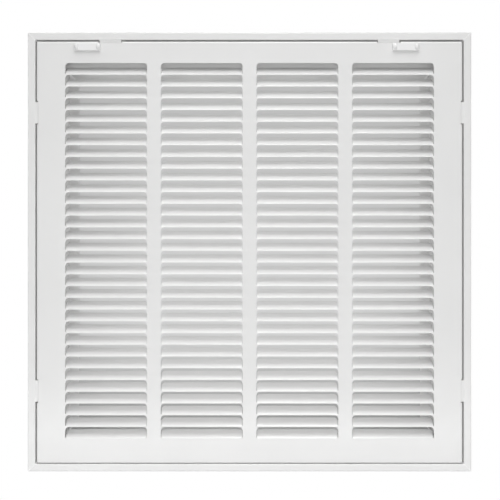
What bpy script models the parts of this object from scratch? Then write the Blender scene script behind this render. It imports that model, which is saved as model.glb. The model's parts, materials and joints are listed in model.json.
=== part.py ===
"""Return air filter grille: a wall frame of four folded rails and a louvred door.

Units are metres. The front faces -Y and +Z is up. The wall plane is y = 0, and the
origin is the middle of the top rail's wall flange, on the face that lies on the wall.
"""

import math

import bmesh
import bpy
from mathutils import Matrix

# Sheet
SHEET = 0.0008
BEND_INNER_RADIUS = 0.0004
TOUCH_GAP = 0.0003
BEND_STEPS = 3

# Louvred field of the door
COLUMNS = 4
ROWS = 32
SLOT_LENGTH = 0.0883
COLUMN_BAR = 0.0147
SLOT_PITCH = 0.01265
BLADE_DEPTH = 0.0090
BLADE_SLOPE = math.radians(43)
FOLD_RADIUS = 0.0014
FOLD_STEPS = 2
END_WEB = 0.0018
WEB_NOSE_SHARE = 0.2

# Borders of the door round the field
SIDE_BORDER = 0.03095
TOP_BORDER = 0.0234
BOTTOM_BORDER = 0.0264
DOOR_BEND_INNER_RADIUS = 0.0012
DOOR_CORNER_RADIUS = 0.0022
CORNER_STEPS = 3
RIM_FLOOR_CLEARANCE = 0.0005

# Play between the door and the frame
GAP_SIDE = 0.0012
GAP_TOP = 0.0015
GAP_BOTTOM = 0.0006

# Frame section
LIP_WIDTH = 0.0082
FRAME_DEPTH = 0.0110
FLANGE_WIDTH = 0.0288
NECK_DEPTH = 0.0300
REAR_LIP = 0.0107

# Tongues lanced from the rails: stops and strikes, and the hinge tabs of the bottom rail
TONGUE_INSET = 0.0796
SIDE_TONGUE_INSET = 0.07835
TONGUE_LENGTH = 0.0230
TONGUE_REACH = 0.0052
TONGUE_SLOPE_RUN = 0.0020
HINGE_TAB_REACH = 0.0042
NOTCH_CLEARANCE = 0.0012
NOTCH_TRIM = 0.0001
HINGE_SLOT_FRONT = 0.0005
HINGE_SLOT_BACK = 0.0048

# Corner laps, rivets and screw holes
LAP_LENGTH = 0.0160
LAP_FRONT = 0.0030
LAP_BACK = 0.0260
RIVET_INSET = 0.0090
RIVET_FIRST = 0.0080
RIVET_SPACING = 0.0130
RIVET_RADIUS = 0.0016
RIVET_HEAD_RADIUS = 0.0032
RIVET_HEAD_HEIGHT = 0.0010
RIVET_TAIL_RADIUS = 0.0025
RIVET_TAIL_HEIGHT = 0.0004
SCREW_OFFSET = 0.1000
SCREW_HOLE_RADIUS = 0.0025
HOLE_SIDES = 16

# Latches
PAD_LENGTH = 0.0285
PAD_HEIGHT = 0.0080
PAD_TOP_MARGIN = 0.0022
PAD_THICKNESS = 0.0022
PAD_EDGE_RADIUS = 0.0005
GRIP_INSET = 0.0026
GRIP_HALF_WIDTH = 0.0023
GRIP_HALF_HEIGHT = 0.0034
GRIP_RISE = 0.0016
GRIP_SINK = 0.0002
GRIP_SIDES = 12
GRIP_RINGS = 8
STEM_LENGTH = 0.0050
STEM_HEIGHT = 0.0034
STEM_CLEARANCE = 0.0005
STEM_HEAD_OVERLAP = 0.0012
STEM_HEAD_THICKNESS = 0.0007
LATCH_UNLOCKED_OFFSET = 0.0245
LATCH_ENGAGEMENT = 0.0045
RIGHT_LATCH_ADVANCE = 0.0065
BOLT_THICKNESS = 0.0012
BOLT_HEIGHT = 0.0106
BOLT_NOSE = 0.0060
BOLT_TAIL = 0.0260
BOLT_NOSE_CHAMFER = 0.0020
KEEPER_LENGTH = 0.0120
KEEPER_SETBACK = 0.0100
KEEPER_FOOT = 0.0065

# Sizes that follow from the ones above
BEND_RADIUS = BEND_INNER_RADIUS + SHEET
DOOR_BEND_RADIUS = DOOR_BEND_INNER_RADIUS + SHEET
FIELD_WIDTH = COLUMNS * SLOT_LENGTH + (COLUMNS - 1) * COLUMN_BAR
FIELD_HEIGHT = ROWS * SLOT_PITCH
DOOR_WIDTH = FIELD_WIDTH + 2 * SIDE_BORDER
DOOR_HEIGHT = FIELD_HEIGHT + TOP_BORDER + BOTTOM_BORDER
OUTER_WIDTH = DOOR_WIDTH + 2 * (GAP_SIDE + LIP_WIDTH)
OUTER_HEIGHT = DOOR_HEIGHT + GAP_TOP + GAP_BOTTOM + 2 * LIP_WIDTH
NECK_INSET = LIP_WIDTH + FLANGE_WIDTH
ORIGIN_INSET = LIP_WIDTH + FLANGE_WIDTH / 2
CENTRE_Z = ORIGIN_INSET - OUTER_HEIGHT / 2

FACE_Y = -FRAME_DEPTH
DOOR_TOP = OUTER_HEIGHT / 2 - LIP_WIDTH - GAP_TOP
DOOR_BOTTOM = DOOR_TOP - DOOR_HEIGHT
FIELD_TOP = DOOR_TOP - TOP_BORDER
RIM_BACK_Y = -SHEET - RIM_FLOOR_CLEARANCE
HINGE_Y = FACE_Y + DOOR_BEND_RADIUS
HINGE_Z = DOOR_BOTTOM + DOOR_BEND_RADIUS
HINGE_TAB_SETBACK = DOOR_BEND_RADIUS + TOUCH_GAP

TONGUE_OFFSET = DOOR_WIDTH / 2 - TONGUE_INSET
SIDE_TONGUE_OFFSET = OUTER_HEIGHT / 2 - LIP_WIDTH - SIDE_TONGUE_INSET

PAD_CENTRE_Z = DOOR_TOP - PAD_TOP_MARGIN - PAD_HEIGHT / 2
STEM_CENTRE_Z = DOOR_TOP + GAP_TOP - TONGUE_REACH - STEM_CLEARANCE - STEM_HEIGHT / 2
STRIKE_BACK_Y = FACE_Y + 2 * SHEET + TOUCH_GAP
BOLT_FRONT_Y = STRIKE_BACK_Y + TOUCH_GAP
BOLT_BACK_Y = BOLT_FRONT_Y + BOLT_THICKNESS
BOLT_TOP = DOOR_TOP - SHEET - TOUCH_GAP
BOLT_BOTTOM = BOLT_TOP - BOLT_HEIGHT
UNLOCKED_CENTRE = TONGUE_OFFSET + LATCH_UNLOCKED_OFFSET
STRIKE_CLEARANCE = LATCH_UNLOCKED_OFFSET - TONGUE_LENGTH / 2 - BOLT_NOSE
LATCH_TRAVEL = STRIKE_CLEARANCE + LATCH_ENGAGEMENT

WHITE_PAINT = (0.80, 0.80, 0.795, 1.0)
PAD_PAINT = (0.86, 0.86, 0.86, 1.0)
ZINC = (0.62, 0.63, 0.64, 1.0)


def clear_scene():
    """Remove the objects that the scene starts with."""
    for existing in list(bpy.data.objects):
        bpy.data.objects.remove(existing, do_unlink=True)


def new_collection(name):
    """Add a collection to the scene."""
    collection = bpy.data.collections.new(name)
    bpy.context.scene.collection.children.link(collection)
    return collection


def new_material(name, colour, roughness, metallic):
    """Make a plain Principled material."""
    material = bpy.data.materials.new(name)
    material.use_nodes = True
    shader = material.node_tree.nodes["Principled BSDF"]
    shader.inputs["Base Color"].default_value = colour
    shader.inputs["Roughness"].default_value = roughness
    shader.inputs["Metallic"].default_value = metallic
    return material


def add_object(name, mesh, collection, material=None):
    """Link a mesh as a named object at the height of the grille's centre."""
    new = bpy.data.objects.new(name, mesh)
    new.location = (0, 0, CENTRE_Z)
    collection.objects.link(new)
    if material:
        mesh.materials.append(material)
    return new


def mesh_from(name, bm):
    """Turn a bmesh into mesh data with outward faces."""
    bmesh.ops.recalc_face_normals(bm, faces=bm.faces)
    mesh = bpy.data.meshes.new(name)
    bm.to_mesh(mesh)
    bm.free()
    return mesh


def add_cutter(name, mesh, cutters, target=None):
    """Link a tool object that is never rendered, placed as its target is."""
    tool = add_object(name, mesh, cutters)
    tool.hide_render = True
    tool.display_type = "WIRE"
    if target:
        tool.rotation_euler = target.rotation_euler
    return tool


def boolean(target, tool, operation):
    """Cut a tool out of a part, or unite it with the part."""
    modifier = target.modifiers.new(tool.name, "BOOLEAN")
    modifier.operation = operation
    modifier.solver = "EXACT"
    modifier.object = tool


def box_mesh(name, low, high):
    """A box between two corners."""
    bm = bmesh.new()
    bmesh.ops.create_cube(bm, size=1)
    for vert in bm.verts:
        for axis in range(3):
            middle = (low[axis] + high[axis]) / 2
            vert.co[axis] = middle + vert.co[axis] * (high[axis] - low[axis])
    return mesh_from(name, bm)


def merge_meshes(name, meshes):
    """Put several closed shapes, clear of each other, in one tool mesh."""
    bm = bmesh.new()
    for mesh in meshes:
        bm.from_mesh(mesh)
        bpy.data.meshes.remove(mesh)
    return mesh_from(name, bm)


def round_path(points, radii, steps):
    """Replace the inner corners of an open path with arcs."""
    rounded = [points[0]]
    for index in range(1, len(points) - 1):
        before, corner, after = points[index - 1 : index + 2]
        rounded += corner_arc(before, corner, after, radii[index], steps)
    rounded.append(points[-1])
    return rounded


def corner_arc(before, corner, after, radius, steps):
    """Points of the arc that rounds one right-angled or blunt corner."""
    start = math.atan2(before[1] - corner[1], before[0] - corner[0])
    end = math.atan2(after[1] - corner[1], after[0] - corner[0])
    opening = (end - start + math.pi) % (2 * math.pi) - math.pi
    tangent = radius / math.tan(abs(opening) / 2)
    reach = math.hypot(tangent, radius)
    middle = start + opening / 2
    centre = (corner[0] + reach * math.cos(middle), corner[1] + reach * math.sin(middle))
    first = (corner[0] + tangent * math.cos(start), corner[1] + tangent * math.sin(start))
    angle = math.atan2(first[1] - centre[1], first[0] - centre[0])
    turn = math.copysign(math.pi - abs(opening), -opening)
    arc = []
    for step in range(steps + 1):
        now = angle + turn * step / steps
        arc.append((centre[0] + radius * math.cos(now), centre[1] + radius * math.sin(now)))
    return arc


def sheet_section(path):
    """Outline of a folded sheet: the path is one face, and the other lies on its left."""
    headings = []
    for start, end in zip(path, path[1:]):
        headings.append(math.atan2(end[1] - start[1], end[0] - start[0]))
    other = []
    near_radii = []
    far_radii = []
    for index, point in enumerate(path):
        before = headings[max(index - 1, 0)]
        after = headings[min(index, len(headings) - 1)]
        turn = (after - before + math.pi) % (2 * math.pi) - math.pi
        middle = before + turn / 2 + math.pi / 2
        reach = SHEET / math.cos(turn / 2)
        other.append((point[0] + reach * math.cos(middle), point[1] + reach * math.sin(middle)))
        near_radii.append(BEND_RADIUS if turn > 0 else BEND_INNER_RADIUS)
        far_radii.append(BEND_INNER_RADIUS if turn > 0 else BEND_RADIUS)
    near = round_path(path, near_radii, BEND_STEPS)
    far = round_path(other, far_radii, BEND_STEPS)
    return near + far[::-1]


def extrude_section(name, outline, place, ends):
    """Sweep a closed outline between two ends; place gives a point for each end."""
    bm = bmesh.new()
    verts = [bm.verts.new(place(point, ends[0])) for point in outline]
    bottom = bm.faces.new(verts)
    swept = bmesh.ops.extrude_face_region(bm, geom=[bottom])["geom"]
    moved = [item for item in swept if isinstance(item, bmesh.types.BMVert)]
    by_place = {tuple(vert.co): vert for vert in moved}
    for source, point in zip(verts, outline):
        by_place[tuple(source.co)].co = place(point, ends[1])
    return mesh_from(name, bm)


def rail_section():
    """Section of a rail as inset from the outer edge and depth, from the wall inwards."""
    return sheet_section(
        [
            (0, 0),
            (0, FACE_Y),
            (LIP_WIDTH, FACE_Y),
            (LIP_WIDTH, -SHEET),
            (NECK_INSET + SHEET, -SHEET),
            (NECK_INSET + SHEET, NECK_DEPTH - SHEET),
            (NECK_INSET + SHEET + REAR_LIP, NECK_DEPTH - SHEET),
        ]
    )


def rail_mesh(name, half_length, half_across):
    """A rail along X with mitred ends and its outer edge up."""
    mitre_setback = TOUCH_GAP / 2 * math.sqrt(2)

    def place(point, end):
        inset, depth = point
        return (end * (half_length - inset - mitre_setback), depth, half_across - inset)

    return extrude_section(name, rail_section(), place, (-1, 1))


def tongue_section():
    """Section of a tongue that carries on from the lip and dips behind the door's face."""
    root = LIP_WIDTH - BEND_RADIUS
    shoulder = LIP_WIDTH + NOTCH_TRIM
    stop_y = FACE_Y + SHEET + TOUCH_GAP
    tip = LIP_WIDTH + TONGUE_REACH
    front = [
        (root, FACE_Y),
        (shoulder, FACE_Y),
        (shoulder + TONGUE_SLOPE_RUN, stop_y),
        (tip, stop_y),
    ]
    back = [
        (tip, stop_y + SHEET),
        (shoulder + TONGUE_SLOPE_RUN - SHEET / 4, stop_y + SHEET),
        (shoulder - SHEET / 4, FACE_Y + SHEET),
        (root, FACE_Y + SHEET),
    ]
    return front + back


def hinge_tab_section():
    """Section of a hinge tab, which stands straight out of the recess wall."""
    front = HINGE_Y + HINGE_TAB_SETBACK
    root = LIP_WIDTH - SHEET / 2
    tip = LIP_WIDTH + HINGE_TAB_REACH
    return [(root, front), (tip, front), (tip, front + SHEET), (root, front + SHEET)]


def along_rail(half_across, middle, length):
    """Placer for a short section swept along a rail."""

    def place(point, end):
        inset, depth = point
        return (middle + end * length / 2, depth, half_across - inset)

    return place


def add_tongues(rail, half_across, offset, section, window_front, window_depth, cutters):
    """Lance two tongues out of a rail's recess wall."""
    windows = []
    tongues = []
    for side in (-1, 1):
        middle = side * offset
        half_window = TONGUE_LENGTH / 2 + TOUCH_GAP
        top = half_across - LIP_WIDTH + 2 * SHEET
        bottom = half_across - LIP_WIDTH - SHEET
        low = (middle - half_window, window_front, bottom)
        high = (middle + half_window, window_front + window_depth, top)
        windows.append(box_mesh("window", low, high))
        place = along_rail(half_across, middle, TONGUE_LENGTH)
        tongues.append(extrude_section("tongue", section, place, (-1, 1)))
    window_tool = add_cutter(rail.name + "_windows", merge_meshes("windows", windows), cutters, rail)
    tongue_tool = add_cutter(rail.name + "_tongues", merge_meshes("tongues", tongues), cutters, rail)
    boolean(rail, window_tool, "DIFFERENCE")
    boolean(rail, tongue_tool, "UNION")


def cylinder_mesh(name, centre, radius, half_length, axis):
    """A round cutter along Y or Z."""
    bm = bmesh.new()
    bmesh.ops.create_cone(
        bm, cap_ends=True, segments=HOLE_SIDES, radius1=radius, radius2=radius, depth=2 * half_length
    )
    for vert in bm.verts:
        x, y, z = vert.co
        if axis == "Y":
            y, z = -z, y
        vert.co = (centre[0] + x, centre[1] + y, centre[2] + z)
    return mesh_from(name, bm)


def add_holes(rail, half_length, half_across, riveted, cutters):
    """Drill the screw holes of a rail's flange, and the rivet holes of its neck."""
    holes = []
    for side in (-1, 1):
        centre = (side * SCREW_OFFSET, -SHEET / 2, half_across - ORIGIN_INSET)
        holes.append(cylinder_mesh("screw_hole", centre, SCREW_HOLE_RADIUS, 2 * SHEET, "Y"))
        if riveted:
            x = side * (half_length - NECK_INSET - SHEET - RIVET_INSET)
            z = half_across - NECK_INSET - SHEET / 2
            holes += rivet_holes(x, z, "Z")
    tool = add_cutter(rail.name + "_holes", merge_meshes("holes", holes), cutters, rail)
    boolean(rail, tool, "DIFFERENCE")


def rivet_holes(x, z, axis):
    """The pair of clearance holes for one corner's rivets."""
    holes = []
    for index in range(2):
        centre = (x, RIVET_FIRST + index * RIVET_SPACING, z)
        holes.append(cylinder_mesh("rivet_hole", centre, RIVET_RADIUS + TOUCH_GAP, SHEET, axis))
    return holes


def add_laps(rail, half_length, half_across, cutters):
    """Fold a lap at each end of a side rail's neck, inside the neck of the next rail."""
    laps = []
    holes = []
    for side in (-1, 1):
        outer = half_length - NECK_INSET - SHEET - TOUCH_GAP
        across_top = half_across - NECK_INSET - SHEET / 2
        across_bottom = half_across - NECK_INSET - SHEET - LAP_LENGTH
        edges = sorted((side * outer, side * (outer - SHEET)))
        low = (edges[0], LAP_FRONT, across_bottom)
        high = (edges[1], LAP_BACK, across_top)
        laps.append(box_mesh("lap", low, high))
        across = half_across - NECK_INSET - SHEET - RIVET_INSET
        for index in range(2):
            centre = (side * (outer - SHEET / 2), RIVET_FIRST + index * RIVET_SPACING, across)
            holes.append(lap_hole(centre))
    lap_tool = add_cutter(rail.name + "_laps", merge_meshes("laps", laps), cutters, rail)
    hole_tool = add_cutter(rail.name + "_lap_holes", merge_meshes("lap_holes", holes), cutters, rail)
    boolean(rail, lap_tool, "UNION")
    boolean(rail, hole_tool, "DIFFERENCE")


def lap_hole(centre):
    """A rivet hole along the side rail's own X."""
    bm = bmesh.new()
    radius = RIVET_RADIUS + TOUCH_GAP
    bmesh.ops.create_cone(
        bm, cap_ends=True, segments=HOLE_SIDES, radius1=radius, radius2=radius, depth=2 * SHEET
    )
    for vert in bm.verts:
        x, y, z = vert.co
        vert.co = (centre[0] + z, centre[1] + y, centre[2] - x)
    return mesh_from("lap_hole", bm)


def build_frame(parts, cutters, paint):
    """The four rails: top, right, bottom and left, each turned from the one along the top."""
    sides = (("frame_top", 0), ("frame_right", 90), ("frame_bottom", 180), ("frame_left", 270))
    for name, turn in sides:
        level = turn in (0, 180)
        half_length = (OUTER_WIDTH if level else OUTER_HEIGHT) / 2
        half_across = (OUTER_HEIGHT if level else OUTER_WIDTH) / 2
        rail = add_object(name, rail_mesh(name, half_length, half_across), parts, paint)
        rail.rotation_euler = (0, math.radians(turn), 0)
        if name == "frame_bottom":
            section = hinge_tab_section()
            window_front = HINGE_Y + HINGE_TAB_SETBACK + SHEET + TOUCH_GAP
            window_depth = HINGE_TAB_REACH
        else:
            section = tongue_section()
            window_front = FACE_Y + BEND_RADIUS + TOUCH_GAP
            window_depth = TONGUE_REACH
        offset = TONGUE_OFFSET if level else SIDE_TONGUE_OFFSET
        add_tongues(rail, half_across, offset, section, window_front, window_depth, cutters)
        add_holes(rail, half_length, half_across, level, cutters)
        if not level:
            add_laps(rail, half_length, half_across, cutters)


def rivet_mesh(name):
    """Half a section of a rivet, turned about Z, with its domed head up."""
    grip = 2 * SHEET + 3 * TOUCH_GAP
    shank_top = grip / 2
    head_edge = RIVET_HEAD_HEIGHT * 0.35
    shoulder = RIVET_HEAD_RADIUS * 0.62
    profile = [
        (0, shank_top + RIVET_HEAD_HEIGHT),
        (shoulder, shank_top + RIVET_HEAD_HEIGHT * 0.85),
        (RIVET_HEAD_RADIUS, shank_top + head_edge),
        (RIVET_HEAD_RADIUS, shank_top),
        (RIVET_RADIUS, shank_top),
        (RIVET_RADIUS, -shank_top),
        (RIVET_TAIL_RADIUS, -shank_top),
        (RIVET_TAIL_RADIUS, -shank_top - RIVET_TAIL_HEIGHT),
        (0, -shank_top - RIVET_TAIL_HEIGHT),
    ]
    mesh = bpy.data.meshes.new(name)
    edges = [(index, index + 1) for index in range(len(profile) - 1)]
    mesh.from_pydata([(x, 0, z) for x, z in profile], edges, [])
    return mesh


def build_rivets(parts, paint):
    """Two rivets at each corner of the neck, through the rail and the lap inside it."""
    middle_inset = NECK_INSET + SHEET + TOUCH_GAP / 2
    for row, upward in (("top", 1), ("bottom", -1)):
        for column, across in (("left", -1), ("right", 1)):
            x = across * (OUTER_WIDTH / 2 - NECK_INSET - SHEET - RIVET_INSET)
            z = CENTRE_Z + upward * (OUTER_HEIGHT / 2 - middle_inset)
            for index, place in enumerate(("front", "rear")):
                name = "rivet_" + row + "_" + column + "_" + place
                rivet = add_object(name, rivet_mesh(name), parts, paint)
                rivet.location = (x, RIVET_FIRST + index * RIVET_SPACING, z)
                rivet.rotation_euler = (0, 0 if upward > 0 else math.pi, 0)
                turn = rivet.modifiers.new("turn", "SCREW")
                turn.steps = HOLE_SIDES
                turn.render_steps = HOLE_SIDES
                turn.use_merge_vertices = True
                turn.merge_threshold = 0.00001


def blade_profile():
    """Depth and rise of a blade from its nose to its free rear edge."""
    fold = math.pi / 2 - BLADE_SLOPE
    points = []
    for step in range(FOLD_STEPS + 1):
        angle = fold * step / FOLD_STEPS
        depth = FOLD_RADIUS * (1 - math.cos(angle))
        points.append((depth, FOLD_RADIUS * math.sin(angle)))
    straight = BLADE_DEPTH - points[-1][0]
    points.append((BLADE_DEPTH, points[-1][1] + straight * math.tan(BLADE_SLOPE)))
    return points


def column_edges(bm):
    """The points where the slits end: for each column a left and a right list."""
    columns = []
    for column in range(COLUMNS):
        left = -FIELD_WIDTH / 2 + column * (SLOT_LENGTH + COLUMN_BAR)
        pair = []
        for x in (left, left + SLOT_LENGTH):
            line = []
            for row in range(ROWS + 1):
                line.append(bm.verts.new((x, FACE_Y, FIELD_TOP - row * SLOT_PITCH)))
            pair.append(line)
        columns.append(pair)
    return columns


def add_blade(bm, left, right, row):
    """One blade, folded from the slit below it, and its two end webs."""
    nose_z = FIELD_TOP - (row + 1) * SLOT_PITCH
    left_line = [left[row + 1]]
    right_line = [right[row + 1]]
    for depth, rise in blade_profile()[1:]:
        share = WEB_NOSE_SHARE + (1 - WEB_NOSE_SHARE) * depth / BLADE_DEPTH
        for line, inward in ((left_line, 1), (right_line, -1)):
            x = line[0].co.x + inward * END_WEB * share
            line.append(bm.verts.new((x, FACE_Y + depth, nose_z + rise)))
    last = len(left_line) - 1
    for index in range(last):
        corners = (left_line[index], right_line[index], right_line[index + 1], left_line[index + 1])
        bm.faces.new(corners)
    for index in range(1, last - 1):
        bm.faces.new((left_line[0], left_line[index], left_line[index + 1]))
        bm.faces.new((right_line[0], right_line[index + 1], right_line[index]))
    bm.faces.new((left_line[0], left_line[last - 1], left[row]))
    bm.faces.new((left[row], left_line[last - 1], left_line[last]))
    bm.faces.new((right_line[0], right[row], right_line[last - 1]))
    bm.faces.new((right[row], right_line[last], right_line[last - 1]))


def rim_ring(bm, inset, y):
    """One loop round the door, as four corner arcs, from the top left clockwise."""
    radius = DOOR_CORNER_RADIUS - inset
    half_width = DOOR_WIDTH / 2 - DOOR_CORNER_RADIUS
    corners = (
        (-half_width, DOOR_TOP - DOOR_CORNER_RADIUS, math.pi),
        (half_width, DOOR_TOP - DOOR_CORNER_RADIUS, math.pi / 2),
        (half_width, DOOR_BOTTOM + DOOR_CORNER_RADIUS, 0),
        (-half_width, DOOR_BOTTOM + DOOR_CORNER_RADIUS, -math.pi / 2),
    )
    ring = []
    for x, z, start in corners:
        arc = []
        for step in range(CORNER_STEPS + 1):
            angle = start - math.pi / 2 * step / CORNER_STEPS
            place = (x + radius * math.cos(angle), y, z + radius * math.sin(angle))
            arc.append(bm.verts.new(place))
        ring.append(arc)
    return ring


def add_rim(bm):
    """The edge of the door: a bend and a rim turned back towards the wall."""
    rings = []
    for step in range(BEND_STEPS + 1):
        angle = math.pi / 2 * step / BEND_STEPS
        inset = DOOR_BEND_RADIUS * (1 - math.sin(angle))
        y = FACE_Y + DOOR_BEND_RADIUS * (1 - math.cos(angle))
        rings.append(rim_ring(bm, inset, y))
    rings.append(rim_ring(bm, 0, RIM_BACK_Y))
    for near, far in zip(rings, rings[1:]):
        near_loop = sum(near, [])
        far_loop = sum(far, [])
        for index in range(len(near_loop)):
            after = (index + 1) % len(near_loop)
            bm.faces.new((near_loop[index], near_loop[after], far_loop[after], far_loop[index]))
    return rings[0]


def door_surface():
    """The front surface of the door: borders, bars, blades and rim as one open sheet."""
    bm = bmesh.new()
    columns = column_edges(bm)
    bottom_line = []
    for left, right in columns:
        for row in range(ROWS):
            add_blade(bm, left, right, row)
        bottom_line += [left[-1], right[-1]]
    for (_, right), (left, _) in zip(columns, columns[1:]):
        for row in range(ROWS):
            bm.faces.new((right[row], left[row], left[row + 1], right[row + 1]))
    top_left, top_right, bottom_right, bottom_left = add_rim(bm)
    top_line = [vert for left, right in columns for vert in (left[0], right[0])]
    bm.faces.new(top_left + top_right + top_line[::-1])
    bm.faces.new(bottom_right + bottom_left + bottom_line)
    bm.faces.new([bottom_left[-1], top_left[0]] + columns[0][0])
    bm.faces.new([top_right[-1], bottom_right[0]] + columns[-1][1][::-1])
    bmesh.ops.recalc_face_normals(bm, faces=bm.faces)
    bm.faces.ensure_lookup_table()
    front = max(bm.faces, key=lambda face: face.calc_area())
    if front.normal.y > 0:
        bmesh.ops.reverse_faces(bm, faces=bm.faces)
    mesh = bpy.data.meshes.new("door")
    bm.to_mesh(mesh)
    bm.free()
    return mesh


def notch_boxes():
    """Notches of the top and side rims, open to the back, where the tongues reach in."""
    depth = DOOR_BEND_RADIUS + NOTCH_TRIM
    half = TONGUE_LENGTH / 2 + NOTCH_CLEARANCE
    front = FACE_Y - SHEET
    boxes = []
    for side in (-1, 1):
        middle = side * TONGUE_OFFSET
        low = (middle - half, front, DOOR_TOP - depth)
        high = (middle + half, SHEET, DOOR_TOP + SHEET)
        boxes.append(box_mesh("top_notch", low, high))
        level = side * SIDE_TONGUE_OFFSET
        for across in (-1, 1):
            edges = sorted((across * (DOOR_WIDTH / 2 - depth), across * (DOOR_WIDTH / 2 + SHEET)))
            low = (edges[0], front, level - half)
            high = (edges[1], SHEET, level + half)
            boxes.append(box_mesh("side_notch", low, high))
    return boxes


def hinge_slot_boxes():
    """Closed slots of the bottom rim, which turn round the hinge tabs."""
    half = TONGUE_LENGTH / 2 + NOTCH_CLEARANCE
    boxes = []
    for side in (-1, 1):
        middle = side * TONGUE_OFFSET
        low = (middle - half, HINGE_Y + HINGE_SLOT_FRONT, DOOR_BOTTOM - SHEET)
        high = (middle + half, HINGE_Y + HINGE_SLOT_BACK, DOOR_BOTTOM + 2 * SHEET)
        boxes.append(box_mesh("hinge_slot", low, high))
    return boxes


def latch_slot_boxes():
    """Slots of the top border, in which the stems of the latches run."""
    clearance = TOUCH_GAP
    inner = UNLOCKED_CENTRE - LATCH_TRAVEL - STEM_LENGTH / 2 - clearance
    outer = UNLOCKED_CENTRE + STEM_LENGTH / 2 + clearance
    half = STEM_HEIGHT / 2 + clearance
    boxes = []
    for side in (-1, 1):
        edges = sorted((side * inner, side * outer))
        low = (edges[0], FACE_Y - SHEET, STEM_CENTRE_Z - half)
        high = (edges[1], FACE_Y + 2 * SHEET, STEM_CENTRE_Z + half)
        boxes.append(box_mesh("latch_slot", low, high))
    return boxes


def build_door(parts, cutters, paint):
    """The stamped door: its front surface thickened to the sheet, then cut."""
    pivot = bpy.data.objects.new("door_hinge_axis", None)
    pivot.location = (0, HINGE_Y, CENTRE_Z + HINGE_Z)
    parts.objects.link(pivot)
    door = add_object("door", door_surface(), parts, paint)
    door.location = (0, -HINGE_Y, -HINGE_Z)
    door.parent = pivot
    sheet = door.modifiers.new("sheet", "SOLIDIFY")
    sheet.thickness = SHEET
    sheet.offset = -1
    boxes = notch_boxes() + hinge_slot_boxes() + latch_slot_boxes()
    tool = add_cutter("door_cuts", merge_meshes("door_cuts", boxes), cutters)
    boolean(door, tool, "DIFFERENCE")
    return pivot


def pad_mesh():
    """Plate of the finger pad, with its centre on the slide line and its back on the face."""
    back = FACE_Y - TOUCH_GAP
    low = (-PAD_LENGTH / 2, back - PAD_THICKNESS, PAD_CENTRE_Z - PAD_HEIGHT / 2)
    high = (PAD_LENGTH / 2, back, PAD_CENTRE_Z + PAD_HEIGHT / 2)
    return box_mesh("pad", low, high)


def grip_mesh(side):
    """A rounded grip that stands up from one end of the finger pad."""
    x = side * (PAD_LENGTH / 2 - GRIP_INSET)
    y = FACE_Y - TOUCH_GAP - PAD_THICKNESS + GRIP_SINK
    place = Matrix.Translation((x, y, PAD_CENTRE_Z))
    form = Matrix.Diagonal((GRIP_HALF_WIDTH, GRIP_RISE + GRIP_SINK, GRIP_HALF_HEIGHT, 1))
    bm = bmesh.new()
    bmesh.ops.create_uvsphere(
        bm, u_segments=GRIP_SIDES, v_segments=GRIP_RINGS, radius=1, matrix=place @ form
    )
    return mesh_from("grip", bm)


def build_knob(name, centre, parts, cutters, paint, pivot):
    """A knob: the finger pad with a stem through the door's slot, closed over the bolt."""
    knob = add_object(name, pad_mesh(), parts, paint)
    place_on_door(knob, centre, pivot)
    edge = knob.modifiers.new("edge", "BEVEL")
    edge.width = PAD_EDGE_RADIUS
    edge.segments = 2
    edge.limit_method = "ANGLE"
    half_length = STEM_LENGTH / 2
    half_height = STEM_HEIGHT / 2
    head_front = BOLT_BACK_Y + TOUCH_GAP
    stem = box_mesh(
        "stem",
        (-half_length, FACE_Y - 2 * TOUCH_GAP, STEM_CENTRE_Z - half_height),
        (half_length, head_front + STEM_HEAD_THICKNESS / 2, STEM_CENTRE_Z + half_height),
    )
    head = box_mesh(
        "stem_head",
        (-half_length - STEM_HEAD_OVERLAP, head_front, STEM_CENTRE_Z - half_height - STEM_HEAD_OVERLAP),
        (
            half_length + STEM_HEAD_OVERLAP,
            head_front + STEM_HEAD_THICKNESS,
            STEM_CENTRE_Z + half_height + STEM_HEAD_OVERLAP,
        ),
    )
    grips = merge_meshes("grips", [grip_mesh(-1), grip_mesh(1)])
    for part_name, mesh in (("_grips", grips), ("_stem", stem), ("_stem_head", head)):
        tool = add_cutter(name + part_name, mesh, cutters)
        tool.location = (centre, 0, CENTRE_Z)
        boolean(knob, tool, "UNION")


def place_on_door(piece, x, pivot):
    """Carry a piece on the door's hinge axis, at a place along the door."""
    piece.parent = pivot
    piece.location = (x, -HINGE_Y, -HINGE_Z)


def build_bolt(name, centre, inward, parts, cutters, zinc, pivot):
    """A bolt: a flat slide behind the door's face, whose nose goes behind the strike."""
    nose = inward * BOLT_NOSE
    tail = -inward * BOLT_TAIL
    chamfered = nose - inward * BOLT_NOSE_CHAMFER
    outline = [
        (tail, BOLT_TOP),
        (tail, BOLT_BOTTOM),
        (chamfered, BOLT_BOTTOM),
        (nose, BOLT_BOTTOM + BOLT_NOSE_CHAMFER),
        (nose, BOLT_TOP),
    ]

    def place(point, end):
        return (point[0], BOLT_FRONT_Y if end < 0 else BOLT_BACK_Y, point[1])

    mesh = extrude_section(name, outline, place, (-1, 1))
    bolt = add_object(name, mesh, parts, zinc)
    place_on_door(bolt, centre, pivot)
    half_length = STEM_LENGTH / 2 + TOUCH_GAP
    half_height = STEM_HEIGHT / 2 + TOUCH_GAP
    hole = box_mesh(
        name + "_hole",
        (-half_length, BOLT_FRONT_Y - SHEET, STEM_CENTRE_Z - half_height),
        (half_length, BOLT_BACK_Y + SHEET, STEM_CENTRE_Z + half_height),
    )
    tool = add_cutter(name + "_hole", hole, cutters)
    tool.location = (centre, 0, CENTRE_Z)
    boolean(bolt, tool, "DIFFERENCE")


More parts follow.
